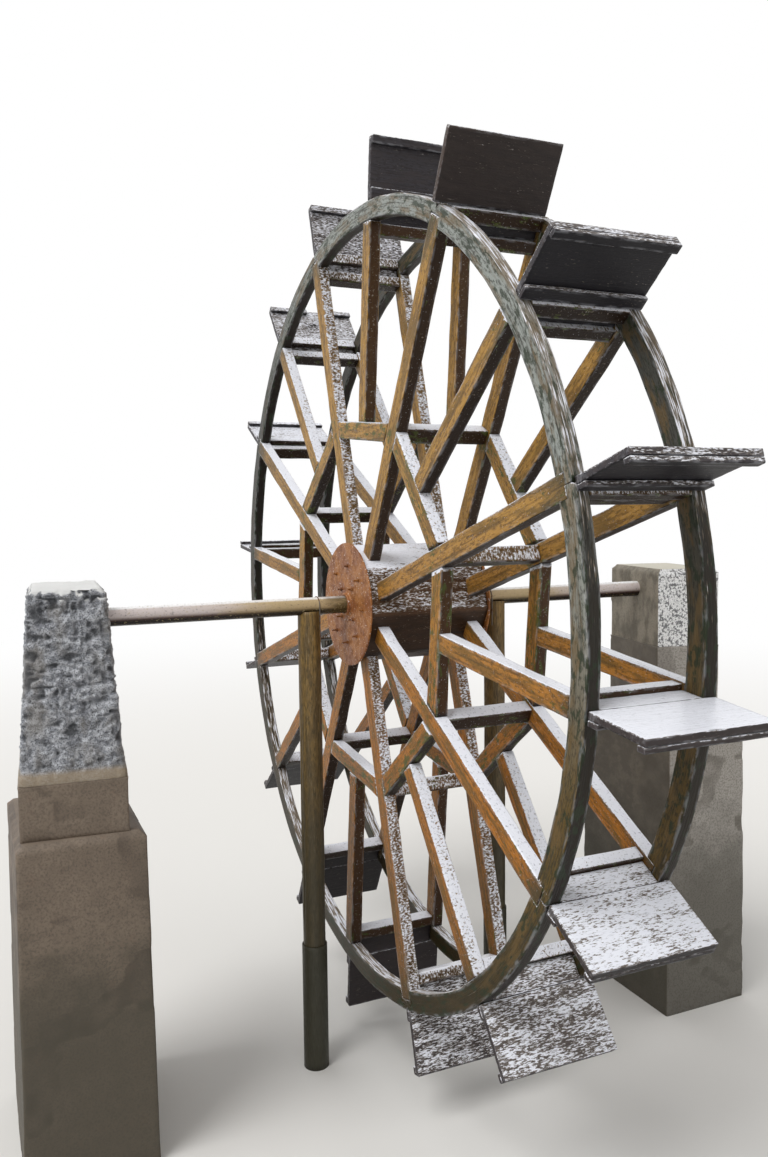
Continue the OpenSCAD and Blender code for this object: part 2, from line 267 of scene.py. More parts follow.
def worn_bar(stations, across, through, seed, wear=6 * MM, relief=2.5 * MM, spacing=16 * MM,
             lump=(0.16, 0.03, 0.03), cap_rings=1, end_wear=4 * MM):
    """A sawn bar with worn edges, in its own axes: s along it, a across it and b through it.

    It is a rounded rectangle carried along the stations. Each edge's radius wanders along the bar, and the
    whole surface is let in by layered noise whose lumps are long in s, as the weather hollows soft grain.
    Each end is drawn in by the end wear, and closes with rings that shrink to a point.
    """
    stations = np.asarray(stations, float)
    low_a, high_a = (np.broadcast_to(np.asarray(v, float), stations.shape) for v in across)
    low_b, high_b = (np.broadcast_to(np.asarray(v, float), stations.shape) for v in through)

    # The wear of each edge wanders from 0.35 to 1.65 of the usual wear, in lumps of 130 mm
    corner = np.stack([stations[:, None].repeat(4, 1) / 0.13,
                       np.tile(np.arange(4) * 5.3, (len(stations), 1)),
                       np.zeros((len(stations), 4))], axis=-1)
    thinnest = np.minimum(high_a - low_a, high_b - low_b)[:, None]
    radius = np.minimum(wear * (0.35 + 1.3 * lattice_noise(corner, seed)), 0.45 * thinnest)
    count_a = max(2, int(round(float((high_a - low_a).max()) / spacing)))
    count_b = max(2, int(round(float((high_b - low_b).max()) / spacing)))
    ring, outward, edge = rounded_rings(low_a, high_a, low_b, high_b, radius, count_a, count_b)
    along = np.broadcast_to(stations[:, None, None], ring.shape[:2] + (1,))
    body = np.concatenate([along, ring], axis=-1)
    depth = relief * layered_noise(body, lump, 3, seed + 5)
    body[..., 1:] -= outward * depth[..., None]

    # At each end a ring drawn in by the end wear, then smaller rings towards the middle
    centre = np.stack([stations, (low_a + high_a) / 2, (low_b + high_b) / 2], axis=-1)
    shrinking = [1 - j / (cap_rings + 1) for j in range(1, cap_rings + 1)]
    caps = []
    for end, inward in ((0, 1), (-1, -1)):
        full = body[end].copy()
        body[end, :, 0] += inward * end_wear
        caps.append([])
        for size in [1 - end_wear / float(thinnest[end, 0])] + shrinking:
            one = centre[end] + (full - centre[end]) * size
            hollow = layered_noise(one[:, None] * [0, 1, 1] + [end * 9.1, 0, 0], lump[1], 2, seed + 9)
            one[:, 0] = stations[end] + inward * relief * hollow[:, 0]
            caps[-1].append(one)
    rings = np.stack(caps[0][::-1] + list(body) + caps[1])
    count, around = rings.shape[:2]
    cap_edge = np.zeros((cap_rings + 1, around))
    cap_edge[0] = 1
    edge = np.concatenate([cap_edge[::-1], edge, cap_edge]).reshape(-1)
    points = np.concatenate([rings.reshape(-1, 3), centre[[0, -1]]])
    return points, *skin(count, around), np.append(edge, [0, 0])


def round_bar(stations, radius, seed, relief=2 * MM, lump=(0.2, 0.04, 0.04), cap_rings=6):
    """A bar carried along s whose section is given as a radius for each station and each angle.

    The surface is let in by layered noise, and each end closes with rings that shrink to a point.
    """
    stations = np.asarray(stations, float)
    count, around = radius.shape
    turn = full_turn(around)
    outward = np.stack([np.cos(turn), np.sin(turn)], axis=-1)
    body = np.concatenate([np.broadcast_to(stations[:, None, None], (count, around, 1)),
                           radius[..., None] * outward], axis=-1)
    depth = relief * layered_noise(body, lump, 3, seed)
    body[..., 1:] -= outward * depth[..., None]
    sizes = [(cap_rings - j) / (cap_rings + 1) for j in range(cap_rings)]
    caps = [[body[end] * [1, size, size] for size in sizes] for end in (0, -1)]
    rings = np.stack(caps[0][::-1] + list(body) + caps[1])
    points = np.concatenate([rings.reshape(-1, 3), [[stations[0], 0, 0], [stations[-1], 0, 0]]])
    return points, *skin(*rings.shape[:2]), np.zeros(len(points))


def cracked(radius, stations, size, seed, count, starts, lengths, wander, waves, depth, width):
    """The radii of a round bar of about the given size, less its drying cracks.

    A crack runs along the bar at an angle that wanders as a sine. Its section is bell-shaped, and its depth
    falls from the middle of its length to its ends. Starts, lengths and waves are ranges to draw from.
    """
    draw = np.random.default_rng(seed)
    turn = full_turn(radius.shape[1])
    for _ in range(count):
        middle = draw.uniform(0, 2 * math.pi)
        start = draw.uniform(*starts)
        half = draw.uniform(*lengths) / 2
        angle = middle + wander * np.sin(stations * draw.uniform(*waves))
        gap = (turn[None] - angle[:, None] + math.pi) % (2 * math.pi) - math.pi
        open_part = np.clip(1 - np.abs((stations - start - half) / half), 0, 1) ** 0.5
        radius = radius - depth * open_part[:, None] * np.exp(-(gap * size / width) ** 2)
    return radius


def revolve(profile, around, pits=0.0, pit_size=0.03, seed=0):
    """A closed profile of distance along the axis and radius, turned about the axis into a ring.

    Pits let the surface in along the axis by layered noise, most where the noise is deepest.
    """
    profile = np.asarray(profile, float)
    turn = full_turn(around)
    s = np.broadcast_to(profile[:, :1], (len(profile), around))
    points = np.stack([s, profile[:, 1:] * np.cos(turn), profile[:, 1:] * np.sin(turn)], axis=-1)
    if pits:
        deep = np.clip(layered_noise(points, (pit_size,) * 3, 3, seed) - 0.45, 0, 1)
        points[..., 0] -= np.sign(points[..., 0] - profile[:, 0].mean()) * pits * deep
    index = np.arange(len(profile) * around).reshape(len(profile), around)
    beside = np.roll(index, -1, axis=1)
    quads = np.stack([index, beside, np.roll(beside, -1, axis=0), np.roll(index, -1, axis=0)], axis=-1)
    return points.reshape(-1, 3), quads.reshape(-1, 4), np.zeros((0, 3), int), np.zeros(index.size)


def wheel_point(angle, radius, offset, depth):
    """A place from its angle and radius, its offset anticlockwise, and its depth towards the near side."""
    x = radius * np.cos(angle) - offset * np.sin(angle)
    z = radius * np.sin(angle) + offset * np.cos(angle)
    return np.stack([x, -depth + 0 * x, z + SHAFT_H], axis=-1)


def angle_of(k):
    """Angle of place k, counted clockwise as seen from the near side."""
    return FIRST_ANGLE - k * PITCH


def frame_mid(side):
    """Depth of the middle of a side frame."""
    return side * (WHEEL_HALF - FRAME_T / 2)


def signed_volume(points, triangles):
    """Volume inside a closed surface, which is negative where its faces point inwards."""
    a, b, c = (points[triangles[:, i]] for i in range(3))
    return float(np.einsum("ij,ij->i", a - points[0], np.cross(b - points[0], c - points[0])).sum() / 6)


# How far each timber's grain is moved on from the last one's, so that no two timbers look alike
GRAIN_SHIFT = np.array([3.7, 5.3, 7.9])


def build(name, shapes, kind, body, slot, *replaces, smooth=True):
    """Joins placed shapes into one mesh with its faces outwards, gives it grain, edge and finish, hangs it
    under its body's empty, and hides the nodes it replaces. Its slot is not used."""
    points, quads, triangles, grain, edges = [], [], [], [], []
    total = 0
    for number, (shape, placed) in enumerate(shapes):
        local, quad, triangle, edge = shape
        halves = np.concatenate([quad[:, [0, 1, 2]], quad[:, [0, 2, 3]], triangle])
        if signed_volume(placed, halves) < 0:
            quad, triangle = quad[:, ::-1], triangle[:, ::-1]
        points.append(placed)
        quads.append(quad + total)
        triangles.append(triangle + total)
        grain.append(local + GRAIN_SHIFT * (number + 1 + len(name)))
        edges.append(edge)
        total += len(placed)
    mesh = bpy.data.meshes.new(name)
    faces = np.concatenate(quads).tolist() + np.concatenate(triangles).tolist()
    mesh.from_pydata(np.concatenate(points), [], faces)
    mesh.attributes.new("grain", "FLOAT_VECTOR", "POINT").data.foreach_set(
        "vector", np.concatenate(grain).astype(np.float32).ravel())
    mesh.attributes.new("edge", "FLOAT", "POINT").data.foreach_set(
        "value", np.concatenate(edges).astype(np.float32))
    mesh.polygons.foreach_set("use_smooth", np.full(len(faces), smooth))
    mesh.update()
    piece = bpy.data.objects.new(name, mesh)
    bpy.context.scene.collection.objects.link(piece)
    mesh.materials.append(finish(kind))
    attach(piece, body)
    if replaces:
        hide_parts(*replaces)


# Materials

# The outputs of a node that has three, such as Separate XYZ
ALL_THREE = slice(3)


def add(tree, kind, links=(), out=0, **settings):
    """Adds one node, sets its settings, fills or links its inputs, and gives the output or outputs asked for,
    or the node itself."""
    made = tree.nodes.new("ShaderNode" + kind)
    for name, value in settings.items():
        setattr(made, name, value)
    for name, value in dict(links).items():
        if isinstance(value, bpy.types.NodeSocket):
            tree.links.new(value, made.inputs[name])
        else:
            made.inputs[name].default_value = value
    return made if out is None else made.outputs[out]


def new_finish(name, constants=()):
    """An empty material, its node tree, and a principled shader with its constants, joined to its output."""
    material = bpy.data.materials.new(name)
    material.use_nodes = True
    tree = material.node_tree
    tree.nodes.clear()
    shader = add(tree, "BsdfPrincipled", constants, out=None)
    add(tree, "OutputMaterial", {"Surface": shader.outputs[0]}, out=None)
    return material, tree, shader


def pattern(tree, vector, size, detail=3.0, roughness=0.55, distortion=0.0):
    """Noise whose lumps have the given sizes in millimetres along the vector's axes. The last size stands
    for the axes that have none."""
    sizes = size + size[-1:] * (3 - len(size))
    scaled = add(tree, "Mapping", {"Vector": vector, "Scale": [1 / (s * MM) for s in sizes]})
    return add(tree, "TexNoise", {"Vector": scaled, "Scale": 1.0, "Detail": detail, "Roughness": roughness,
                                  "Distortion": distortion})


def weighted_sum(tree, total, *others):
    """A value plus each of the others times its share."""
    for value, share in others:
        total = add(tree, "Math", {0: value, 1: share, 2: total}, operation="MULTIPLY_ADD")
    return total


def colour_input(colour):
    """A colour as a node takes it. It is written as #RRGGBB, or is linear, or another node's output."""
    if isinstance(colour, str):
        colour = linear(colour)
    return colour if isinstance(colour, bpy.types.NodeSocket) else (*colour, 1.0)


def coat(tree, under, over, value, low, high, strength=1.0, ragged=None, where=None):
    """Colour under, covered by colour over as the value goes from low to high, and only where asked.

    Strength is the share covered at the high end. A ragged edge is given as a pattern and its share, and is
    added to the value first.
    """
    if ragged:
        value = weighted_sum(tree, value, ragged)
    share = add(tree, "MapRange", {0: value, 1: low, 2: high, 4: strength}, interpolation_type="SMOOTHSTEP")
    if where is not None:
        share = add(tree, "Math", {0: share, 1: where}, operation="MULTIPLY")
    return add(tree, "Mix", {0: share, 6: colour_input(under), 7: colour_input(over)}, out=2,
               data_type="RGBA")


def coats(tree, colour, *layers):
    """A colour under a row of coats, each given as its colour and the rest of what a coat takes."""
    for layer in layers:
        colour = coat(tree, colour, *layer)
    return colour


def finish_shader(tree, shader, colour, rough, relief, depth, strength=0.6):
    """Joins colour, roughness and bump to the shader.

    Rough is a pattern, its low and high ends, and the roughness at each. Relief is what a weighted sum takes,
    and its depth is in metres.
    """
    roughness = add(tree, "MapRange", dict(enumerate(rough)))
    height = weighted_sum(tree, *relief)
    bump = add(tree, "Bump", {"Height": height, "Strength": strength, "Distance": depth})
    for socket, value in (("Base Color", colour), ("Roughness", roughness), ("Normal", bump)):
        tree.links.new(value, shader.inputs[socket])


def facing(tree):
    """Along the stream, along the shaft and up: how far the surface faces each way, from -1 to 1."""
    return add(tree, "SeparateXYZ", {0: add(tree, "NewGeometry", out="Normal")}, out=ALL_THREE)


def from_axis(tree, place):
    """Distance of a place from the shaft's axis."""
    flat = add(tree, "VectorMath", {0: place, 1: (1, 0, 1)}, operation="MULTIPLY")
    return add(tree, "VectorMath", {0: flat, 1: (0, 0, SHAFT_H)}, out="Value", operation="DISTANCE")


class Timber(NamedTuple):
    """Colours, shares and pattern sizes of one kind of wet timber. Sizes are along the grain and across it,
    in millimetres."""

    high: str | tuple
    low: str | tuple
    dark: str = "#583C18"
    stain: str = "#6A5228"
    # Sides that face round the wheel, painted dark brown as shade
    side: str = "#38220E"
    # Painted shade, nearly black: on undersides, towards one side and in hollows
    under: str = "#1B1007"
    # Darker out by the rim and low down, partly from soaking and partly as painted shade
    soaked: str = "#3E3A2A"
    moss: str = "#46501F"
    # Grey of the water on what faces up, a painted reflection of the sky
    shallow: str = "#8A7C6C"
    # Near white of the painted reflection on the ripples and of the painted highlights on drops, and the
    # paler wear of edges
    silver: str = "#EFF1F9"
    # Grey of the painted reflection between the brightest ripples
    dull: str = "#A6A8B2"
    # Shares of painted shade on the sides, of soaking and painted shade out by the rim, and of painted shade
    # to one side
    side_share: float = 0.95
    soak_share: float = 0.8
    left_share: float = 0.25
    moss_start: float = 0.68
    # Share of the painted highlights on drops
    drop_share: float = 0.3
    film_start: float = 0.9
    film_side: float = 0.63
    film_from: float = 0.3
    film_rise: float = -0.31
    film_gap: float = 0.12
    # Share of the darkening low down, partly from soaking and partly as painted shade
    wet_share: float = 0.5
    streak: tuple = (400, 16)
    ripple: tuple = (10, 17)


def wet_timber(name, look):
    """Sawn timber that stays wet.

    The eye sees ochre faces with soft streaks along the grain, sides and undersides painted dark as shade,
    moss at the joints and near the rim, and running water that breaks into ripples on what looks at the sky,
    painted bright as a reflection of it.
    """
    material, tree, shader = new_finish(name, {"Specular IOR Level": 0.25})
    grain = add(tree, "Attribute", out="Vector", attribute_name="grain")
    edge = add(tree, "Attribute", out="Fac", attribute_name="edge")
    place = add(tree, "TexCoord", out="Object")
    stream, _, height_up = add(tree, "SeparateXYZ", {0: place}, out=ALL_THREE)
    radius = from_axis(tree, place)
    _, along_shaft, up = facing(tree)

    # Growth rings cut lengthwise, drawn coarser than the real 4 mm so that they show, mottling and blotches
    streak = pattern(tree, grain, look.streak, 4.0, 0.6, 0.3)
    mottle = pattern(tree, grain, (35, 12), 4.0, 0.65)
    blotch = pattern(tree, grain, (250, 60), 4.0, 0.6)

    # Patches of moss, most at the octagon's joints and near the rim, and on edges
    patch = pattern(tree, grain, (90, 40), 5.0, 0.65)
    from_joint = add(tree, "Math", {0: radius, 1: 1.12}, operation="SUBTRACT")
    from_joint = add(tree, "Math", {0: from_joint}, operation="ABSOLUTE")
    by_joint = add(tree, "MapRange", {0: from_joint, 1: 0.2, 2: 0.02, 4: 0.16})
    by_rim = add(tree, "MapRange", {0: radius, 1: 1.7, 2: 2.2, 4: 0.09})
    growth = weighted_sum(tree, by_joint, (by_rim, 1), (patch, 1), (edge, 0.07))

    # Drops painted with white highlights, drawn about 10 mm long so that they show, and the wear of the edges
    drop_glint = pattern(tree, grain, (10, 7), 1.0)
    chafe = pattern(tree, grain, (60, 20), 3.0)

    # How far the surface faces round the wheel rather than along the shaft or up, which sets the painted
    # shade of the sides
    square = add(tree, "Math", {0: along_shaft}, operation="ABSOLUTE")
    skyward = add(tree, "Math", {0: up, 1: 0.0}, operation="MAXIMUM")
    turned = weighted_sum(tree, 1.0, (square, -1), (skyward, -1.1))

    # The running water lies where its ripples are higher than a cover, which is low on what faces up and
    # uneven, and is painted grey to near white as a reflection of the sky. The real ripples of about 8 mm
    # would be too fine, so they are drawn a little coarser.
    long, wide = look.ripple
    ripple = pattern(tree, grain, look.ripple, 2.5, 0.6)
    glint = pattern(tree, grain, (1.6 * long, 0.8 * wide), 3.0, 0.6)
    cover = add(tree, "MapRange", {0: up, 1: 0.0, 2: 0.3, 3: look.film_start, 4: look.film_side})
    level = add(tree, "MapRange", {0: up, 1: look.film_from, 2: 1.0, 4: look.film_rise})
    gap = add(tree, "MapRange", {0: blotch, 1: 0.35, 2: 0.65, 3: -look.film_gap / 2, 4: look.film_gap / 2})
    shine = weighted_sum(tree, ripple, (cover, -1), (level, -1), (patch, 0.25), (gap, -1))

    face = coat(tree, look.low, look.high, height_up, 2.2, 3.7)
    # The painted reflection of the sky on the water: grey between the brightest ripples, near white on them
    film_reflection = coat(tree, look.dull, look.silver, glint, 0.36, 0.54, ragged=(up, 0.12))
    wood = coats(
        tree, look.dark,
        (face, streak, 0.26, 0.54),
        (look.dark, mottle, 0.48, 0.62, 0.75),
        (look.stain, blotch, 0.46, 0.62, 0.65),
        # Out by the rim and low down it is darker, partly from soaking and partly as painted shade, and
        # towards one side it is painted darker as shade
        (look.soaked, radius, 2.3, 2.65, look.soak_share, (blotch, 0.5)),
        (look.soaked, height_up, 2.6, 1.5, look.wet_share, (blotch, 1.2)),
        (look.under, stream, -0.5, -2.3, look.left_share),
        # Sides that face round the wheel are painted dark brown as shade, and undersides nearly black as
        # shade
        (look.side, turned, 0.3, 0.9, look.side_share),
        (look.under, up, -0.1, -0.7, 0.9),
        (look.moss, growth, look.moss_start, look.moss_start + 0.08, 0.85),
        # Drops painted near white as highlights
        (look.silver, drop_glint, 0.69, 0.75, look.drop_share),
        # Worn edges are a little paler, and hollows are painted dark as shade
        (look.silver, chafe, 0.42, 0.64, 0.16, None, edge),
        (look.under, edge, -0.1, -0.5, 0.9),
        # What faces up is painted grey as the water's reflection of the sky, and the ripples grey, then near
        # white, as the same painted reflection
        (look.shallow, up, 0.35, 0.95, 0.55),
        (look.shallow, shine, -0.14, -0.02, 0.7),
        (film_reflection, shine, -0.04, 0.08, 0.95))
    finish_shader(tree, shader, wood, (shine, -0.03, 0.05, 0.46, 0.2),
                  (streak, (mottle, 0.4), (ripple, 0.6)), 4 * MM)
    return material


def rusted_plate(name, shade):
    """Hot-rolled steel plate, rusted through its skin.

    The eye sees orange brown with darker scale in blotches, pits of a few millimetres, drawn 14 mm apart so
    that they show, and wet specks painted near white as highlights. A shade share darkens all of it as
    painted shade: none on the plates and a quarter on the bolts.
    """
    material, tree, shader = new_finish(name, {"Specular IOR Level": 0.3})
    place = add(tree, "TexCoord", out="Object")
    blotch = pattern(tree, place, (130,), 5.0, 0.6)
    scale = pattern(tree, place, (35,), 5.0, 0.65)
    pit = pattern(tree, place, (14,), 3.0)
    rust = coats(
        tree, "#84502C",
        ("#A26A36", blotch, 0.4, 0.6),
        ("#653A20", scale, 0.5, 0.66, 0.5),
        ("#3A2116", pit, 0.6, 0.68, 0.7),
        # Wet specks painted near white as highlights
        ("#E4DCD4", pit, 0.38, 0.32, 0.8),
        # All of it darker by the shade share, as painted shade
        ("#2A1C14", blotch, -0.2, 0.0, shade))
    finish_shader(tree, shader, rust, (scale, 0.35, 0.65, 0.32, 0.6), (scale, (pit, -0.6)), 3 * MM)
    return material


def rusted_pipe(name):
    """Drawn steel pipe, smooth under thin rust and slime.

    The eye sees purple brown near the piers and ochre towards the wheel, both wet and shiny, with moss close
    to the hub. The upper half is painted pale, ochre towards the wheel, as a painted reflection of the sky,
    with a painted white highlight along the top, and the underside is painted nearly black as painted shade.
    """
    material, tree, shader = new_finish(name, {"Specular IOR Level": 0.3})
    place = add(tree, "TexCoord", out="Object")
    across = add(tree, "SeparateXYZ", {0: place}, out="Y")
    away = add(tree, "Math", {0: across}, operation="ABSOLUTE")
    up = facing(tree)[2]
    reach_out = weighted_sum(tree, away, (pattern(tree, place, (60, 250, 60), 4.0, 0.6), 0.5))
    fleck = pattern(tree, place, (12, 20, 12), 4.0, 0.65)
    pale = coat(tree, "#BCA680", "#D2C7C4", reach_out, 1.1, 1.7)
    steel = coats(
        tree, "#83704C",
        ("#5A3E38", reach_out, 1.1, 1.6),
        # Pale on the upper half as a painted reflection of the sky, a painted white highlight along the top,
        # and painted shade nearly black underneath
        (pale, up, -0.4, 0.1, 0.95),
        ("#F4F4F4", up, 0.72, 0.9, 0.85),
        ("#160F0C", up, -0.12, -0.55, 0.95),
        ("#3A2F1D", fleck, 0.55, 0.7, 0.6),
        ("#4A3E22", reach_out, 0.9, 0.7, 0.85),
        ("#A99A72", fleck, 0.42, 0.34, 0.6))
    finish_shader(tree, shader, steel, (fleck, 0.35, 0.65, 0.14, 0.4), (fleck,), 1 * MM)
    return material


def prop_pole(name, ochre, olive, foot):
    """Round pole, peeled and weathered, and the slimed steel that holds its foot.

    The eye sees ochre to olive brown with soft streaks, fine drying cracks and grey flecks of bark, drawn
    about 7 mm wide so that they show, and painted shade that darkens it downwards.
    """
    material, tree, shader = new_finish(name)
    grain = add(tree, "Attribute", out="Vector", attribute_name="grain")
    height_up = add(tree, "SeparateXYZ", {0: add(tree, "TexCoord", out="Object")}, out="Z")
    streak = pattern(tree, grain, (300, 30), 5.0, 0.65, 0.4)
    blotch = pattern(tree, grain, (160, 80), 5.0, 0.65)
    fine = pattern(tree, grain, (50, 7), 3.0)
    wood = coats(
        tree, olive,
        (ochre, streak, 0.38, 0.6),
        (olive, blotch, 0.46, 0.58, 0.7),
        (foot, fine, 0.5, 0.64, 0.65),
        ("#A69A7C", fine, 0.4, 0.3, 0.3),
        # Darker downwards, as painted shade
        (foot, height_up, 3.2, 1.5, 0.9, (blotch, 0.9)))
    finish_shader(tree, shader, wood, (fine, 0.35, 0.65, 0.4, 0.65), (streak, (fine, 0.5)), 4 * MM)
    return material


def split_granite(name):
    """Granite split by hand.

    The eye sees cool grey lumps, lit on their crests and painted nearly black in the crevices between as
    painted shade, with pale and dark grains in them, drawn about 7 mm wide so that they show, a worn top
    painted near white as painted light, and a smooth beige bed where the block stands on its base.
    """
    material, tree, shader = new_finish(name)
    deep = add(tree, "Attribute", out="Fac", attribute_name="edge")
    place = add(tree, "TexCoord", out="Object")
    height_up = add(tree, "SeparateXYZ", {0: place}, out="Z")
    up = facing(tree)[2]
    fleck = pattern(tree, place, (34, 34, 24), 8.0, 0.8)
    speck = pattern(tree, place, (7,), 2.0, 0.6)
    cloud = pattern(tree, place, (200, 200, 300), 4.0, 0.6)
    at_top = add(tree, "MapRange", {0: height_up, 1: 3.04, 2: 3.1})
    stone = coats(
        tree, "#8A8D94",
        ("#DADDE3", fleck, 0.42, 0.58),
        ("#3C3E44", speck, 0.52, 0.62, 0.75),
        ("#8A8378", cloud, 0.5, 0.64, 0.5),
        # Crevices painted nearly black by their depth, as painted shade
        ("#26282C", deep, 1.0, 1.75, 0.85, (fleck, 1.2)),
        ("#A3927A", height_up, 2.25, 2.215, 0.85, (cloud, 0.06)),
        # The top painted near white where it faces up, as painted light
        ("#F4F4F2", up, 0.5, 0.75, 0.95, (fleck, 0.3), at_top))
    finish_shader(tree, shader, stone, (fleck, 0.3, 0.7, 0.85, 0.6), (fleck, (speck, 0.4)), 18 * MM, 0.9)
    return material


def hammered_granite(name):
    """Granite dressed flat with a bush hammer.

    The eye sees a face of white and black grains on the street side, painted bright as painted light, and a
    beige grey, rain-stained face towards the wheel, with a top painted pale as painted light. The grains of
    about 5 mm are drawn 8 to 18 mm wide so that they show.
    """
    material, tree, shader = new_finish(name)
    place = add(tree, "TexCoord", out="Object")
    stream, _, up = facing(tree)
    fleck = pattern(tree, place, (18,), 2.0, 0.6)
    speck = pattern(tree, place, (8,), 2.0, 0.6)
    cloud = pattern(tree, place, (120, 120, 200), 5.0, 0.65)
    bright = coats(
        tree, "#F0F0F0",
        ("#3E4044", fleck, 0.5, 0.58, 0.9),
        ("#9C9C9E", speck, 0.5, 0.62, 0.6))
    stone = coats(
        tree, "#8F887A",
        ("#6C665A", cloud, 0.42, 0.62),
        ("#565046", speck, 0.52, 0.64, 0.5),
        # The street side painted bright and the top pale, as painted light
        (bright, stream, 0.5, 0.8),
        ("#D2CDBE", up, 0.7, 0.95, 0.8))
    finish_shader(tree, shader, stone, (fleck, 0.3, 0.7, 0.85, 0.6), (fleck,), 4 * MM)
    return material


def dressed_stone(name, face, dark, pale, stain):
    """Building stone dressed smooth.

    The eye sees even brown grey with soft clouds, a few rusty stains, flaked places, tops and faces on the
    street side painted paler as painted light, and darker, wetter stone towards the stream bed.
    """
    material, tree, shader = new_finish(name)
    place = add(tree, "TexCoord", out="Object")
    height_up = add(tree, "SeparateXYZ", {0: place}, out="Z")
    flaked = add(tree, "Attribute", out="Fac", attribute_name="edge")
    stream, _, up = facing(tree)
    cloud = pattern(tree, place, (300, 300, 200), 6.0, 0.6)
    spot = pattern(tree, place, (100,), 4.0, 0.6)
    fine = pattern(tree, place, (12,), 4.0, 0.65)
    stone = coats(
        tree, dark,
        (face, cloud, 0.34, 0.6),
        (dark, spot, 0.44, 0.6, 0.7),
        (stain, spot, 0.42, 0.3, 0.6),
        # Faces on the street side painted paler, as painted light
        (pale, stream, 0.4, 0.85, 0.75),
        (dark, fine, 0.42, 0.66, 0.6),
        (dark, flaked, 0.55, 1.0, 0.8),
        ("#3B382C", height_up, 2.0, 1.2, 0.7, (cloud, 0.8)),
        # Tops painted paler, as painted light
        (pale, up, 0.6, 0.95, 0.6))
    finish_shader(tree, shader, stone, (fine, 0.3, 0.7, 0.75, 0.5), (fine,), 3 * MM)
    return material


def dull_wire(name):
    """Galvanised wire gone dull: grey metal with a little rust."""
    material, tree, shader = new_finish(name, {"Metallic": 0.6})
    blotch = pattern(tree, add(tree, "TexCoord", out="Object"), (30,), 3.0)
    metal = coat(tree, "#77726C", "#6A4630", blotch, 0.48, 0.62)
    finish_shader(tree, shader, metal, (blotch, 0.3, 0.7, 0.4, 0.7), (blotch,), 0.3 * MM)
    return material


def finish_recipes():
    """For each kind of finish, the function that makes it, its material's name, and its look or colours."""
    chosen = bpy.context.scene.wheel_finish
    board = Timber(
        chosen.board_colour, "#3F322A", dark="#25201F", stain="#4A4140", side="#2F2A2A", soaked="#363236",
        under="#131217", moss="#34382C", shallow="#7C736A", side_share=0.35, soak_share=0.3, drop_share=0.0,
        moss_start=0.76, film_start=0.93, film_side=0.63, film_from=0.8, film_rise=-0.28, film_gap=0.14,
        streak=(350, 12), ripple=(24, 6))
    bare = board._replace(
        high="#4C3F3A", low="#4C3F3A", dark="#382C28", stain="#544844", side="#44382F", soaked="#44382F")
    rim = Timber(
        chosen.rim_colour, "#5A471E", dark="#26241A", stain="#6A5430", side="#1C1710", soaked="#2A2414",
        moss="#222D1A", soak_share=0.0, drop_share=0.0, left_share=0.85, moss_start=0.62, film_start=0.97,
        film_side=0.71, film_rise=-0.1, wet_share=0.85, streak=(350, 12), ripple=(120, 8))
    hub = Timber(
        "#5E4028", "#5E4028", dark="#2A1D14", stain="#4A3320", side="#4A3220", side_share=0.5, left_share=0.0,
        drop_share=0.0, film_side=0.66, film_from=0.5, streak=(350, 10), ripple=(22, 7))
    return {
        "oak": (wet_timber, "weathered_oak", Timber(chosen.oak_high, chosen.oak_low)),
        "rim": (wet_timber, "mossy_rim_oak", rim),
        # The far rim: the near rim's timber, darker in its upper half as painted shade
        "far_rim": (wet_timber, "slimed_rim_oak", rim._replace(high="#45453F")),
        "board": (wet_timber, "soaked_paddle_board", board),
        "bare": (wet_timber, "bare_paddle_board", bare),
        "hub": (wet_timber, "soaked_hub_timber", hub),
        "plate": (rusted_plate, "rusted_hub_plate", 0.0),
        # The bolts take a quarter of the painted shade
        "bolt": (rusted_plate, "rusted_hub_bolt", 0.25),
        "pipe": (rusted_pipe, "rusted_shaft_pipe"),
        "pole": (prop_pole, "peeled_prop_pole", "#8A6C34", "#5C4824", "#302C1A"),
        "socket": (prop_pole, "slimed_socket_steel", "#403C24", "#2E2C1A", "#2A2818"),
        "wire": (dull_wire, "dull_tie_wire"),
        "split": (split_granite, "split_granite"),
        "hammered": (hammered_granite, "hammered_granite"),
        "near_dressed": (dressed_stone, "brown_dressed_stone", "#7C6E60", "#4A3F35", "#7C6E5F", "#6E4A36"),
        "far_dressed": (dressed_stone, "grey_dressed_stone", "#6C6458", "#534C42", "#B4AFA8", "#5E5648"),
    }


MADE = {}


def finish(kind):
    """The finish of that kind, made when it is first asked for."""
    if kind not in MADE:
        maker, *details = finish_recipes()[kind]
        MADE[kind] = maker(*details)
    return MADE[kind]


# Settings that a user would change

LENGTH = {"unit": "LENGTH", "precision": 4}
COLOUR = {"subtype": "COLOR", "size": 3, "min": 0, "max": 1}


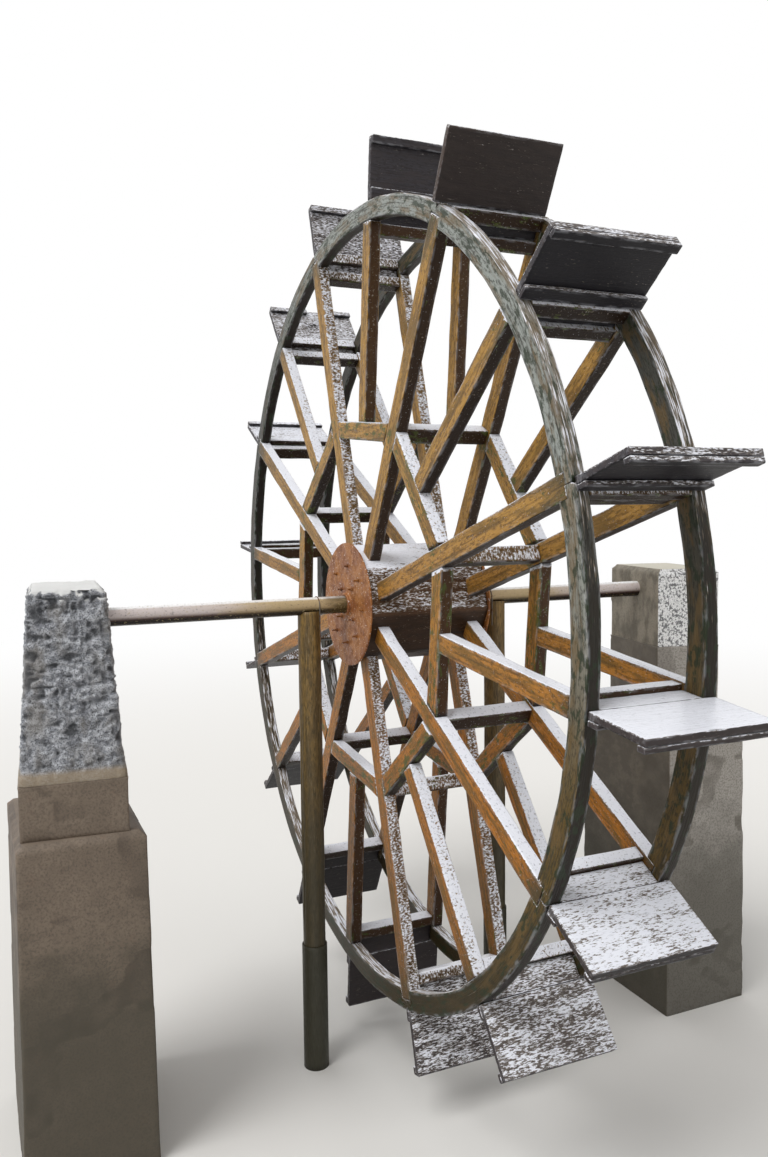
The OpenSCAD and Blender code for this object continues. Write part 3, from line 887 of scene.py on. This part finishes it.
class WheelFinishSettings(bpy.types.PropertyGroup):
    """Sizes and colours of the wheel's worn surfaces."""

    edge_wear: bpy.props.FloatProperty(
        name="Edge wear", description="Usual radius of the worn edges of the spokes and rims",
        default=7 * MM, min=1 * MM, max=20 * MM, **LENGTH)
    relief: bpy.props.FloatProperty(
        name="Grain relief", description="Depth to which weather has hollowed the timber's faces",
        default=3 * MM, min=0, max=8 * MM, **LENGTH)
    stone_relief: bpy.props.FloatProperty(
        name="Stone relief", description="Depth of the hollows in the split faces of the piers",
        default=22 * MM, min=0, max=40 * MM, **LENGTH)
    oak_high: bpy.props.FloatVectorProperty(
        name="High oak", description="Spokes, braces and rungs in the upper half of the wheel",
        default=linear("#AF853F"), **COLOUR)
    oak_low: bpy.props.FloatVectorProperty(
        name="Low oak", description="Spokes, braces and rungs in the lower half, where most water runs",
        default=linear("#B07024"), **COLOUR)
    rim_colour: bpy.props.FloatVectorProperty(
        name="Rims", description="Mossy timber of the near rim in the upper half of the wheel",
        default=linear("#959A95"), **COLOUR)
    board_colour: bpy.props.FloatVectorProperty(
        name="Boards", description="Soaked boards of the paddles",
        default=linear("#444248"), **COLOUR)


class StageSettings(bpy.types.PropertyGroup):
    """Light and floor round the wheel."""

    key_strength: bpy.props.FloatProperty(
        name="Key light", description="Strength of the soft key light", default=1.9, min=0, max=10)
    sky_strength: bpy.props.FloatProperty(
        name="Sky", description="Strength of the sky's light from straight above", default=0.82, min=0, max=2)
    floor_colour: bpy.props.FloatVectorProperty(
        name="Floor", description="Colour of the plain floor", default=linear("#DEDCD8"), **COLOUR)


def brace_reach(radius):
    """Half length of a brace at a radius, where it meets the sides of the two long spokes."""
    return radius * math.tan(PITCH) - LONG_W / 2 / math.cos(PITCH)


def axial_bar(k, ends, radial, offsets, seed, **worn):
    """A bar along the shaft at place k, between two depths, two radii and two offsets anticlockwise."""
    shape = worn_bar(steps(*ends, 20 * MM), radial, offsets, seed + k, **worn)
    s, a, b = shape[0].T
    return shape, wheel_point(angle_of(k), a, b, s)


class SPOKES_OT_dress(bpy.types.Operator):
    """Make the worn long spokes, short spokes and braces of both side frames"""

    bl_idname = "water_wheel.dress_spokes"
    bl_label = "Spokes and Braces"

    def execute(self, context):
        settings = context.scene.wheel_finish
        half_t = FRAME_T / 2
        worn = {"wear": settings.edge_wear, "relief": settings.relief}

        def spoke(k, side, r0, r1, width, seed):
            """A timber at place k that runs outwards from one radius to another."""
            shape = worn_bar(steps(r0, r1, 28 * MM), (-width / 2, width / 2), (-half_t, half_t), seed, **worn)
            s, a, b = shape[0].T
            return shape, wheel_point(angle_of(k), s, a, frame_mid(side) + b)

        def brace(k, side, seed):
            """A timber across place k, longer towards the rim, so that its ends meet the long spokes."""
            half = brace_reach(BRACE_R)
            shape = worn_bar(steps(-half, half, 28 * MM), (-BRACE_W / 2, BRACE_W / 2), (-half_t, half_t),
                             seed, end_wear=1 * MM, **worn)
            s, a, b = shape[0].T
            radius = BRACE_R + a
            offset = s * brace_reach(radius) / half
            return shape, wheel_point(angle_of(k), radius, offset, frame_mid(side) + b)

        for side, name in SIDES:
            timbers = {
                "long_spoke": [spoke(k, side, HUB_FLAT_R - SPOKE_END, RIM_IN_R + SPOKE_SEAT, LONG_W,
                                     100 + 3 * k + side) for k in LONG_PLACES],
                "short_spoke": [spoke(k, side, BRACE_R + BRACE_W / 2, RIM_IN_R, SHORT_W, 200 + 3 * k + side)
                                for k in SHORT_PLACES],
                "brace": [brace(k, side, 300 + 3 * k + side) for k in SHORT_PLACES],
            }
            for part, made in timbers.items():
                build(f"{name}_{part}_timbers", made, "oak", "wheel", "weathered_oak", f"{name}_{part}s")
        return {"FINISHED"}


class RIMS_OT_dress(bpy.types.Operator):
    """Make the worn felloes of both rims, notched for the long spokes"""

    bl_idname = "water_wheel.dress_rims"
    bl_label = "Rims"

    def execute(self, context):
        settings = context.scene.wheel_finish
        length = 2 * PITCH * RIM_MID_R
        notch = LONG_W / 2
        half_t = FRAME_T / 2

        def felloe(k, side, seed):
            """A bar bent to the rim's round. It has a notch at each end and half of the V at each joint."""
            worn_off = np.random.default_rng(seed).uniform(0, 5 * MM)
            ends = np.array([0, FELLOE_V / 3, FELLOE_V, notch / 2, notch - 1 * MM, notch])
            s = np.concatenate([ends, steps(notch, length - notch, 24 * MM)[1:-1], length - ends[::-1]])
            near_end = np.minimum(s, length - s)
            low = np.where(near_end < notch - 0.5 * MM, SPOKE_SEAT - RIM_DEPTH / 2, -RIM_DEPTH / 2)
            high = RIM_DEPTH / 2 - worn_off - FELLOE_V * np.clip(1 - near_end / FELLOE_V, 0, 1)
            shape = worn_bar(s, (low, high), (-half_t, half_t), seed, wear=settings.edge_wear * 1.2,
                             relief=settings.relief * 1.3, end_wear=1 * MM)
            s, a, b = shape[0].T
            angle = angle_of(k + 2) + s / RIM_MID_R
            return shape, wheel_point(angle, RIM_MID_R + a, 0 * s, frame_mid(side) + b)

        for (side, name), (first, part) in itertools.product(SIDES, ((0, "even"), (2, "odd"))):
            made = [felloe(k, side, 400 + 5 * k + side) for k in range(first, PLACES, 4)]
            kind = "rim" if side == NEAR else "far_rim"
            build(f"{name}_{part}_felloe_timbers", made, kind, "wheel", "wet_rim", f"{name}_{part}_felloes")
        return {"FINISHED"}


class RUNGS_OT_dress(bpy.types.Operator):
    """Make the rungs that join the two side frames"""

    bl_idname = "water_wheel.dress_rungs"
    bl_label = "Rungs"

    def execute(self, context):
        half = INNER_RUNG_W / 2
        radial = (INNER_RUNG_R - half, INNER_RUNG_R + half)
        made = [axial_bar(k, BAY, radial, (-half, half), 500) for k in LONG_PLACES]
        build("inner_rung_timbers", made, "oak", "wheel", "weathered_oak", "inner_rungs")
        half = RIM_RUNG_W / 2
        radial = (RUNG_OUT_R - RIM_RUNG_DEPTH, RUNG_OUT_R)
        made = [axial_bar(k, BAY, radial, (-half, half), 520) for k in ALL_PLACES]
        build("rim_rung_timbers", made, "oak", "wheel", "weathered_oak", "rim_rungs")
        return {"FINISHED"}


class PADDLES_OT_dress(bpy.types.Operator):
    """Make the paddles with their inner boards, cleats, battens and lips"""

    bl_idname = "water_wheel.dress_paddles"
    bl_label = "Paddles"

    def execute(self, context):
        face = BOARD_T / 2
        board = {"wear": 4 * MM, "relief": 2.5 * MM, "spacing": 12 * MM, "lump": (0.05, 0.02, 0.02)}
        made = [axial_bar(k, BAY, (RUNG_OUT_R, RIM_R), (-face, face), 600, **board) for k in ALL_PLACES]
        build("inner_board_planks", made, "board", "wheel", "dark_board", "inner_boards")
        behind = (-face - CLEAT_T, -face)
        made = [axial_bar(k, BAY, (RIM_R - CLEAT_W, RIM_R), behind, 620) for k in ALL_PLACES]
        build("paddle_cleat_timbers", made, "oak", "wheel", "weathered_oak", "paddle_cleats")
        behind = (-face - BATTEN_T, -face)
        made = [axial_bar(k, PADDLE_ENDS, (RIM_R, RIM_R + BATTEN_W), behind, 640) for k in DRESSED_PLACES]
        build("paddle_batten_timbers", made, "board", "wheel", "dark_board", "paddle_battens")
        behind = (-face - LIP_T, -face)
        made = [axial_bar(k, ends, (TIP_R - LIP_W, TIP_R), behind, 660)
                for k in DRESSED_PLACES for ends in self.lip_ends(k)]
        build("paddle_lip_timbers", made, "board", "wheel", "dark_board", "paddle_lips")
        for k in ALL_PLACES:
            bare = k == BARE_PLACE
            ends = (-PADDLE_HALF + BARE_SHIFT, PADDLE_HALF + BARE_SHIFT) if bare else PADDLE_ENDS
            shape, placed = axial_bar(k, ends, (RIM_R, TIP_R), (-face, face), 700, **board)
            if k == BROKEN_PLACE:
                placed = self.hollow(k, shape)
            build(f"paddle_plank_{k + 1:02d}", [(shape, placed)], "bare" if bare else "board", "wheel",
                  "dark_board", f"paddle_{k + 1:02d}")
        return {"FINISHED"}

    def lip_ends(self, k):
        """The stretches of lip on a paddle, two where the middle has broken away."""
        if k == BROKEN_PLACE:
            return (-PADDLE_HALF, BREAK[0]), (BREAK[1], PADDLE_HALF)
        return (PADDLE_ENDS,)

    def hollow(self, k, shape):
        """A rotted hollow beside the broken lip: its depth falls from the middle as a smooth step. Where it
        is deep the edge attribute goes below nothing, which the finish paints dark as painted shade."""
        s, a, b = shape[0].T
        deep = np.clip(1.6 - np.maximum(np.abs(s) / ROT_LONG, np.abs(a - ROT_R) / ROT_WIDE) * 1.3, 0, 1)
        deep = np.where(b < 0, deep * deep * (3 - 2 * deep), 0)
        shape[3][:] = np.where(deep > 0.3, -deep, shape[3])
        return wheel_point(angle_of(k), a, b + ROT_DEPTH * deep, s)


class HUB_OT_dress(bpy.types.Operator):
    """Make the hewn hub drum, its rusted plates and their bolts"""

    bl_idname = "water_wheel.dress_hub"
    bl_label = "Hub"

    def execute(self, context):
        build("hub_drum_timber", [self.drum()], "hub", "wheel", "hub_timber", "hub_drum")
        plates = [self.plate(side) for side in (NEAR, FAR)]
        build("hub_rusted_plates", plates, "plate", "wheel", "rusted_plate", "hub_plates")
        build("hub_bolts", self.bolts(), "bolt", "wheel", "rusted_plate", smooth=False)
        return {"FINISHED"}

    def drum(self):
        """An octagon with its corners cut, whose radius at an angle is the flat's distance over the cosine of
        the angle from the middle of that flat, less drying cracks."""
        corner_r = HUB_FLAT_R * 1.072
        stations = steps(-DRUM_HALF, DRUM_HALF, 14 * MM)
        from_flat = (full_turn(around=208) + PITCH) % (2 * PITCH) - PITCH
        section = np.minimum(HUB_FLAT_R / np.cos(from_flat), corner_r)
        radius = np.broadcast_to(section, (len(stations), len(section)))
        radius = cracked(radius, stations, HUB_FLAT_R, seed=11, count=22, starts=(-0.4, 0.2),
                         lengths=(0.2, 0.6), wander=0.03, waves=(4, 9), depth=9 * MM, width=6 * MM)
        shape = round_bar(stations, radius, 12, relief=4 * MM, lump=(0.12, 0.03, 0.03), cap_rings=2)
        s, a, b = shape[0].T
        return shape, wheel_point(FIRST_ANGLE, a, b, s)

    def plate(self, side):
        """A plate and collar turned as one profile, from the bore round the front to the back."""
        bore = PIPE_R + RUNNING_GAP
        front = PLATE_T + COLLAR_L
        bevel = 2 * MM
        profile = [(0, bore), (front, bore), (front, COLLAR_R - COLLAR_BEVEL),
                   (front - COLLAR_BEVEL, COLLAR_R), (PLATE_T + COLLAR_L / 2, COLLAR_R)]
        profile += [(PLATE_T - 0.5 * MM * (i % 2), r)
                    for i, r in enumerate(steps(COLLAR_R, PLATE_R - bevel, 12 * MM))]
        profile += [(PLATE_T - bevel, PLATE_R), (bevel, PLATE_R), (0, PLATE_R - bevel)]
        profile += [(0, r) for r in steps(PLATE_R - 30 * MM, bore + 20 * MM, 60 * MM)]
        shape = revolve(profile, around=192, pits=8 * MM, pit_size=0.022, seed=31 + side)
        s, a, b = shape[0].T
        return shape, wheel_point(FIRST_ANGLE, a, b, side * (DRUM_HALF + s))

    def bolts(self):
        """Nuts on round washers with their shanks standing out, in a ring near the edge and one near the
        collar, all a little off their places. Each part has its count of sides, its radius, and its ends."""
        draw = np.random.default_rng(21)
        bevel = 1.5 * MM
        foot = DRUM_HALF + PLATE_T - 4 * MM
        for side, (ring_r, count, start) in itertools.product((NEAR, FAR), BOLT_RINGS):
            for i in range(count):
                angle = math.radians(start + i * 360 / count + draw.uniform(-4, 4))
                middle_r = ring_r + draw.uniform(-14, 14) * MM
                turn = draw.uniform(0, 1)
                tip = draw.uniform(24, 48) * MM
                washer = (12, 17 * MM, 0, 4 * MM)
                nut = (6, 11 * MM, 4 * MM, 14 * MM)
                shank = (8, 6 * MM, 14 * MM, tip)
                for sides, radius, low, high in (washer, nut, shank):
                    height = np.array([low, high - bevel, high])
                    radii = radius * np.array([1, 1, 0.88])[:, None] * np.ones(sides)
                    shape = round_bar(height, radii, 5, relief=0, cap_rings=0)
                    s, a, b = shape[0].T
                    outwards = a * math.cos(turn) - b * math.sin(turn)
                    sideways = a * math.sin(turn) + b * math.cos(turn)
                    yield shape, wheel_point(angle, middle_r + outwards, sideways, side * (foot + s))


class SHAFT_OT_dress(bpy.types.Operator):
    """Make the fixed shaft pipe and the wire that ties it to the props"""

    bl_idname = "water_wheel.dress_shaft"
    bl_label = "Shaft"

    def execute(self, context):
        profile = [(s, PIPE_R) for s in steps(-PIPE_HALF, PIPE_HALF, 40 * MM)]
        profile += [(PIPE_HALF, PIPE_R - PIPE_WALL), (-PIPE_HALF, PIPE_R - PIPE_WALL)]
        shape = revolve(profile, around=96)
        s, a, b = shape[0].T
        placed = np.stack([a, s, b + SHAFT_H], axis=-1)
        build("shaft_steel_pipe", [(shape, placed)], "pipe", "stand", "pipe_steel", "shaft_pipe")
        ties = frame["nodes"]["shaft_ties"]
        ties.data.materials.clear()
        ties.data.materials.append(finish("wire"))
        return {"FINISHED"}


class PROPS_OT_dress(bpy.types.Operator):
    """Make the two round props and the sockets round their feet"""

    bl_idname = "water_wheel.dress_props"
    bl_label = "Props"

    def execute(self, context):
        for side, name in SIDES:
            build(f"{name}_prop_pole", [self.pole(-side * PROP_Y, 41 + side)], "pole", "stand", "prop_wood",
                  f"{name}_prop")
        made = [self.socket(-side * PROP_Y) for side in (NEAR, FAR)]
        build("prop_pipe_sockets", made, "socket", "stand", "pipe_steel", "prop_sockets")
        return {"FINISHED"}

    def pole(self, y, seed):
        """A pole let in by long lumps of noise, with drying cracks, its head cut to the pipe's round."""
        stations = steps(0, SHAFT_H - PIPE_R + PROP_CUP, 22 * MM)
        around = 96
        radius = cracked(np.full((len(stations), around), PROP_R), stations, PROP_R, seed, count=9,
                         starts=(0.6, 2.2), lengths=(0.4, 1.2), wander=0.12, waves=(1, 4), depth=7 * MM,
                         width=4 * MM)
        shape = round_bar(stations, radius, seed, relief=5 * MM, lump=(0.35, 0.07, 0.07), cap_rings=8)
        points = shape[0]
        room = np.sqrt(np.clip((PIPE_R + BED_GAP) ** 2 - points[:, 1] ** 2, 0, None))
        points[:, 0] = np.where(room > 0, np.minimum(points[:, 0], SHAFT_H - room), points[:, 0])
        s, a, b = points.T
        return shape, np.stack([a, y + b, s], axis=-1)

    def socket(self, y):
        """A short pipe round the foot of a prop, turned as one profile."""
        bore = PROP_R + BED_GAP
        bevel = 2 * MM
        profile = [(0, bore), (SOCKET_H, bore), (SOCKET_H, SOCKET_R - bevel), (SOCKET_H - bevel, SOCKET_R)]
        profile += [(s, SOCKET_R) for s in steps(SOCKET_H - 30 * MM, 0, 40 * MM)]
        shape = revolve(profile, around=72)
        s, a, b = shape[0].T
        return shape, np.stack([a, y + b, s], axis=-1)


class PIERS_OT_dress(bpy.types.Operator):
    """Make the granite blocks, bases and footings of both piers"""

    bl_idname = "water_wheel.dress_piers"
    bl_label = "Piers"

    def execute(self, context):
        split = {"relief": context.scene.wheel_finish.stone_relief, "spacing": 8 * MM, "cap_rings": 12,
                 "lump": (0.024, 0.036, 0.036), "wear": 26 * MM, "bevel": PIER_BEVEL}
        flat = {"relief": 5 * MM, "spacing": 20 * MM, "cap_rings": 3, "lump": (0.1, 0.1, 0.1)}
        footing = dict(flat, wear=12 * MM, bevel=PIER_BEVEL)
        near_base = dict(flat, wear=8 * MM, relief=9 * MM)
        hammered = dict(flat, wear=9 * MM, bevel=PIER_BEVEL, relief=8 * MM, spacing=14 * MM)
        self.stone("near_pier_block", "split", "granite", NEAR_TURN, **split)
        self.stone("near_pier_base", "near_dressed", "cut_stone", NEAR_TURN, **near_base)
        self.stone("near_pier_footing", "near_dressed", "cut_stone", 0, **footing)
        self.stone("far_pier_block", "hammered", "granite", FAR_TURN, **hammered)
        self.stone("far_pier_base", "far_dressed", "cut_stone", FAR_TURN, **dict(flat, wear=7 * MM))
        self.stone("far_pier_footing", "far_dressed", "cut_stone", 0, **footing)
        return {"FINISHED"}

    def split_depth(self, points, noise, low, height, lump, seed):
        """How deep split stone is let in. Three sizes of noise m are added as |2 m - 1|, which makes round
        hollows with sharp crests between them. A ragged crevice runs near half the height, and the lowest
        60 mm are nearly smooth."""
        warped = points + 0.04 * (noise[:, None] - 0.5)
        sizes = ((0.1, 0.14, 0.14), (0.05, 0.075, 0.075), lump)
        folds = [np.abs(2 * layered_noise(warped, size, 1, seed + i) - 1) for i, size in enumerate(sizes)]
        deep = np.clip(0.35 * folds[0] + 0.8 * folds[1] + 0.8 * folds[2], 0, 1.2)
        above = points[:, 0] - low
        wander = 0.05 * layered_noise(points, (0.2, 0.1, 0.1), 2, 3)
        from_crevice = np.abs(above - 0.48 * height - wander) / (16 * MM)
        deep = np.maximum(deep, 1.1 * (1.2 - from_crevice) * np.clip(0.2 + noise, 0, 1))
        return deep * np.clip(above / (60 * MM) - 0.4, 0.12, 1)

    def dressed_depth(self, points, noise, seed):
        """How deep dressed stone is let in: half of the noise, and all of it where broad noise is high and
        flakes have come away."""
        broad = layered_noise(points, (0.22, 0.3, 0.3), 3, seed + 1)
        return 0.5 * noise + 0.5 * np.clip((broad - 0.56) / 0.03, 0, 1)

    def stone(self, node, kind, slot, turn, wear, relief, spacing, cap_rings, lump, bevel=0):
        """A turned block whose half widths run straight from foot to top, with a bevel under its top. Each
        point is let in from the face that it lies on, by the relief times a depth, and less on the top. The
        edge attribute holds that depth for the finish."""
        points = node_points(node)
        low, high = points[:, 2].min(), points[:, 2].max()
        shoulder = high - bevel
        middle_y = (points[:, 1].min() + points[:, 1].max()) / 2
        cos, sin = math.cos(math.radians(turn)), math.sin(math.radians(turn))
        x, y = points[:, 0], points[:, 1] - middle_y
        half = np.abs([x * cos + y * sin, y * cos - x * sin])
        foot = half[:, points[:, 2] < low + 1 * MM].max(axis=1)
        top = half[:, np.abs(points[:, 2] - shoulder) < 2 * MM].max(axis=1)
        stations = steps(low, shoulder, spacing)
        if bevel:
            stations = np.append(stations, [high - bevel / 2, high])
        rise = np.clip((stations - low) / (shoulder - low), 0, 1)
        half_x, half_y = (foot[i] + (top[i] - foot[i]) * rise - np.clip(stations - shoulder, 0, None)
                          for i in (0, 1))
        seed = len(node) + int(relief / MM)
        block, *faces, deep = worn_bar(
            stations, (-half_x, half_x), (-half_y, half_y), seed, wear=wear, relief=0, spacing=spacing,
            cap_rings=cap_rings, end_wear=1 * MM)
        noise = layered_noise(block + 0.02 * layered_noise(block, lump, 2, 8)[:, None], lump, 4, seed)
        if kind == "split":
            deep = self.split_depth(block, noise, low, high - low, lump, seed)
        else:
            deep = self.dressed_depth(block, noise, seed)
        s, a, b = block.T
        inward = np.stack([0 * s, a / half_x.max(), b / half_y.max()], axis=-1)
        inward /= np.maximum(np.abs(inward).max(axis=1, keepdims=True), 1e-6)
        inward = np.where((s > high - 3 * MM)[:, None], [[0.35, 0, 0]], inward)
        block = block - inward * (relief * deep)[:, None]
        block[:, 0] = np.clip(block[:, 0], low, high)
        s, a, b = block.T
        placed = np.stack([a * cos - b * sin, middle_y + a * sin + b * cos, s], axis=-1)
        build(f"{node}_stone", [((block, *faces, deep), placed)], kind, "stand", slot, node)


class STAGE_OT_dress(bpy.types.Operator):
    """Make the floor, the lights and the camera at the photograph's viewing angle"""

    bl_idname = "water_wheel.dress_stage"
    bl_label = "Stage"

    def execute(self, context):
        self.floor(context)
        self.light(context)
        self.camera(context)
        return {"FINISHED"}

    def floor(self, context):
        """A plain floor that, for the camera alone, fades to the background's white far from the wheel."""
        half = 40.0
        mesh = bpy.data.meshes.new("floor")
        corners = [(-half, -half, 0), (half, -half, 0), (half, half, 0), (-half, half, 0)]
        mesh.from_pydata(corners, [], [(0, 1, 2, 3)])
        floor = bpy.data.objects.new("floor", mesh)
        context.scene.collection.objects.link(floor)
        material, tree, shader = new_finish("plain_floor", {"Roughness": 0.9})
        shader.inputs["Base Color"].default_value = (*context.scene.wheel_stage.floor_colour, 1.0)
        place = add(tree, "TexCoord", out="Object")
        far = add(tree, "VectorMath", {0: place}, out="Value", operation="LENGTH")
        fade = add(tree, "MapRange", {0: far, 1: 5.0, 2: 22.0}, interpolation_type="SMOOTHSTEP")
        seen = add(tree, "LightPath", out="Is Camera Ray")
        share = add(tree, "Math", {0: fade, 1: seen}, operation="MULTIPLY")
        white = add(tree, "Emission", {"Color": (1, 1, 1, 1), "Strength": 1.0})
        mixed = add(tree, "MixShader", {0: share, 1: shader.outputs[0], 2: white})
        output = next(n for n in tree.nodes if n.type == "OUTPUT_MATERIAL")
        tree.links.new(mixed, output.inputs["Surface"])
        mesh.materials.append(material)

    def light(self, context):
        """A white sky that dims below the horizon, plain white where it is seen, and one soft key light."""
        settings = context.scene.wheel_stage
        world = bpy.data.worlds.new("studio")
        world.use_nodes = True
        tree = world.node_tree
        tree.nodes.clear()
        path = add(tree, "LightPath", out=None).outputs
        seen = path["Is Camera Ray"]
        for ray in ("Is Glossy Ray", "Is Transmission Ray"):
            seen = add(tree, "Math", {0: seen, 1: path[ray]}, operation="MAXIMUM")
        up = add(tree, "SeparateXYZ", {0: add(tree, "TexCoord", out="Generated")}, out="Z")
        strength = settings.sky_strength
        even = add(tree, "MapRange", {0: up, 1: -0.2, 3: 0.3 * strength, 4: strength})
        shown = add(tree, "MapRange", {0: seen, 3: even, 4: 1.0})
        back = add(tree, "Background", {"Color": (1, 1, 1, 1), "Strength": shown})
        add(tree, "OutputWorld", {"Surface": back}, out=None)
        context.scene.world = world
        lamp = bpy.data.lights.new("key", "SUN")
        lamp.energy = settings.key_strength
        lamp.angle = math.radians(35)
        key = bpy.data.objects.new("key", lamp)
        context.scene.collection.objects.link(key)
        towards_light = Vector((0.25, -0.85, 1.2))
        key.rotation_euler = towards_light.to_track_quat("Z", "Y").to_euler()

    def camera(self, context):
        """The photograph's camera: its place, the way it looks, its roll, and its focal length."""
        place = (5.5276, -2.5955, 3.5493)
        image_h, focal_px, sensor = 1157, 949, 36.0
        azimuth, pitch, roll = (math.radians(v) for v in (66.14, 4.24, 0.63))
        forward = Vector((-math.sin(azimuth) * math.cos(pitch), math.cos(azimuth) * math.cos(pitch),
                          -math.sin(pitch)))
        level = Vector((math.cos(azimuth), math.sin(azimuth), 0))
        upright = level.cross(forward)
        right = level * math.cos(roll) - upright * math.sin(roll)
        above = upright * math.cos(roll) + level * math.sin(roll)
        data = bpy.data.cameras.new("camera")
        data.sensor_fit = "VERTICAL"
        data.sensor_height = sensor
        data.lens = focal_px / image_h * sensor
        camera = bpy.data.objects.new("camera", data)
        context.scene.collection.objects.link(camera)
        turned = Matrix((right, above, -forward)).transposed().to_4x4()
        camera.matrix_world = Matrix.Translation(place) @ turned
        context.scene.camera = camera


OPERATORS = (SPOKES_OT_dress, RIMS_OT_dress, RUNGS_OT_dress, PADDLES_OT_dress, HUB_OT_dress, SHAFT_OT_dress,
             PROPS_OT_dress, PIERS_OT_dress, STAGE_OT_dress)


class VIEW3D_PT_water_wheel(bpy.types.Panel):
    """Lists the steps that dress the wheel"""

    bl_label = "Water Wheel"
    bl_idname = "VIEW3D_PT_water_wheel"
    bl_space_type = "VIEW_3D"
    bl_region_type = "UI"
    bl_category = "Water Wheel"

    def draw(self, context):
        for group in (context.scene.wheel_finish, context.scene.wheel_stage):
            for name in group.__annotations__:
                self.layout.prop(group, name)
        for operator in OPERATORS:
            self.layout.operator(operator.bl_idname)


CLASSES = (WheelFinishSettings, StageSettings) + OPERATORS + (VIEW3D_PT_water_wheel,)


def register():
    for cls in CLASSES:
        bpy.utils.register_class(cls)
    bpy.types.Scene.wheel_finish = bpy.props.PointerProperty(type=WheelFinishSettings)
    bpy.types.Scene.wheel_stage = bpy.props.PointerProperty(type=StageSettings)


def unregister():
    del bpy.types.Scene.wheel_stage
    del bpy.types.Scene.wheel_finish
    for cls in reversed(CLASSES):
        bpy.utils.unregister_class(cls)


def main():
    register()
    for operator in OPERATORS:
        group, name = operator.bl_idname.split(".")
        getattr(getattr(bpy.ops, group), name)()
    bpy.context.scene.view_settings.view_transform = "Standard"


if __name__ == "__main__":
    main()
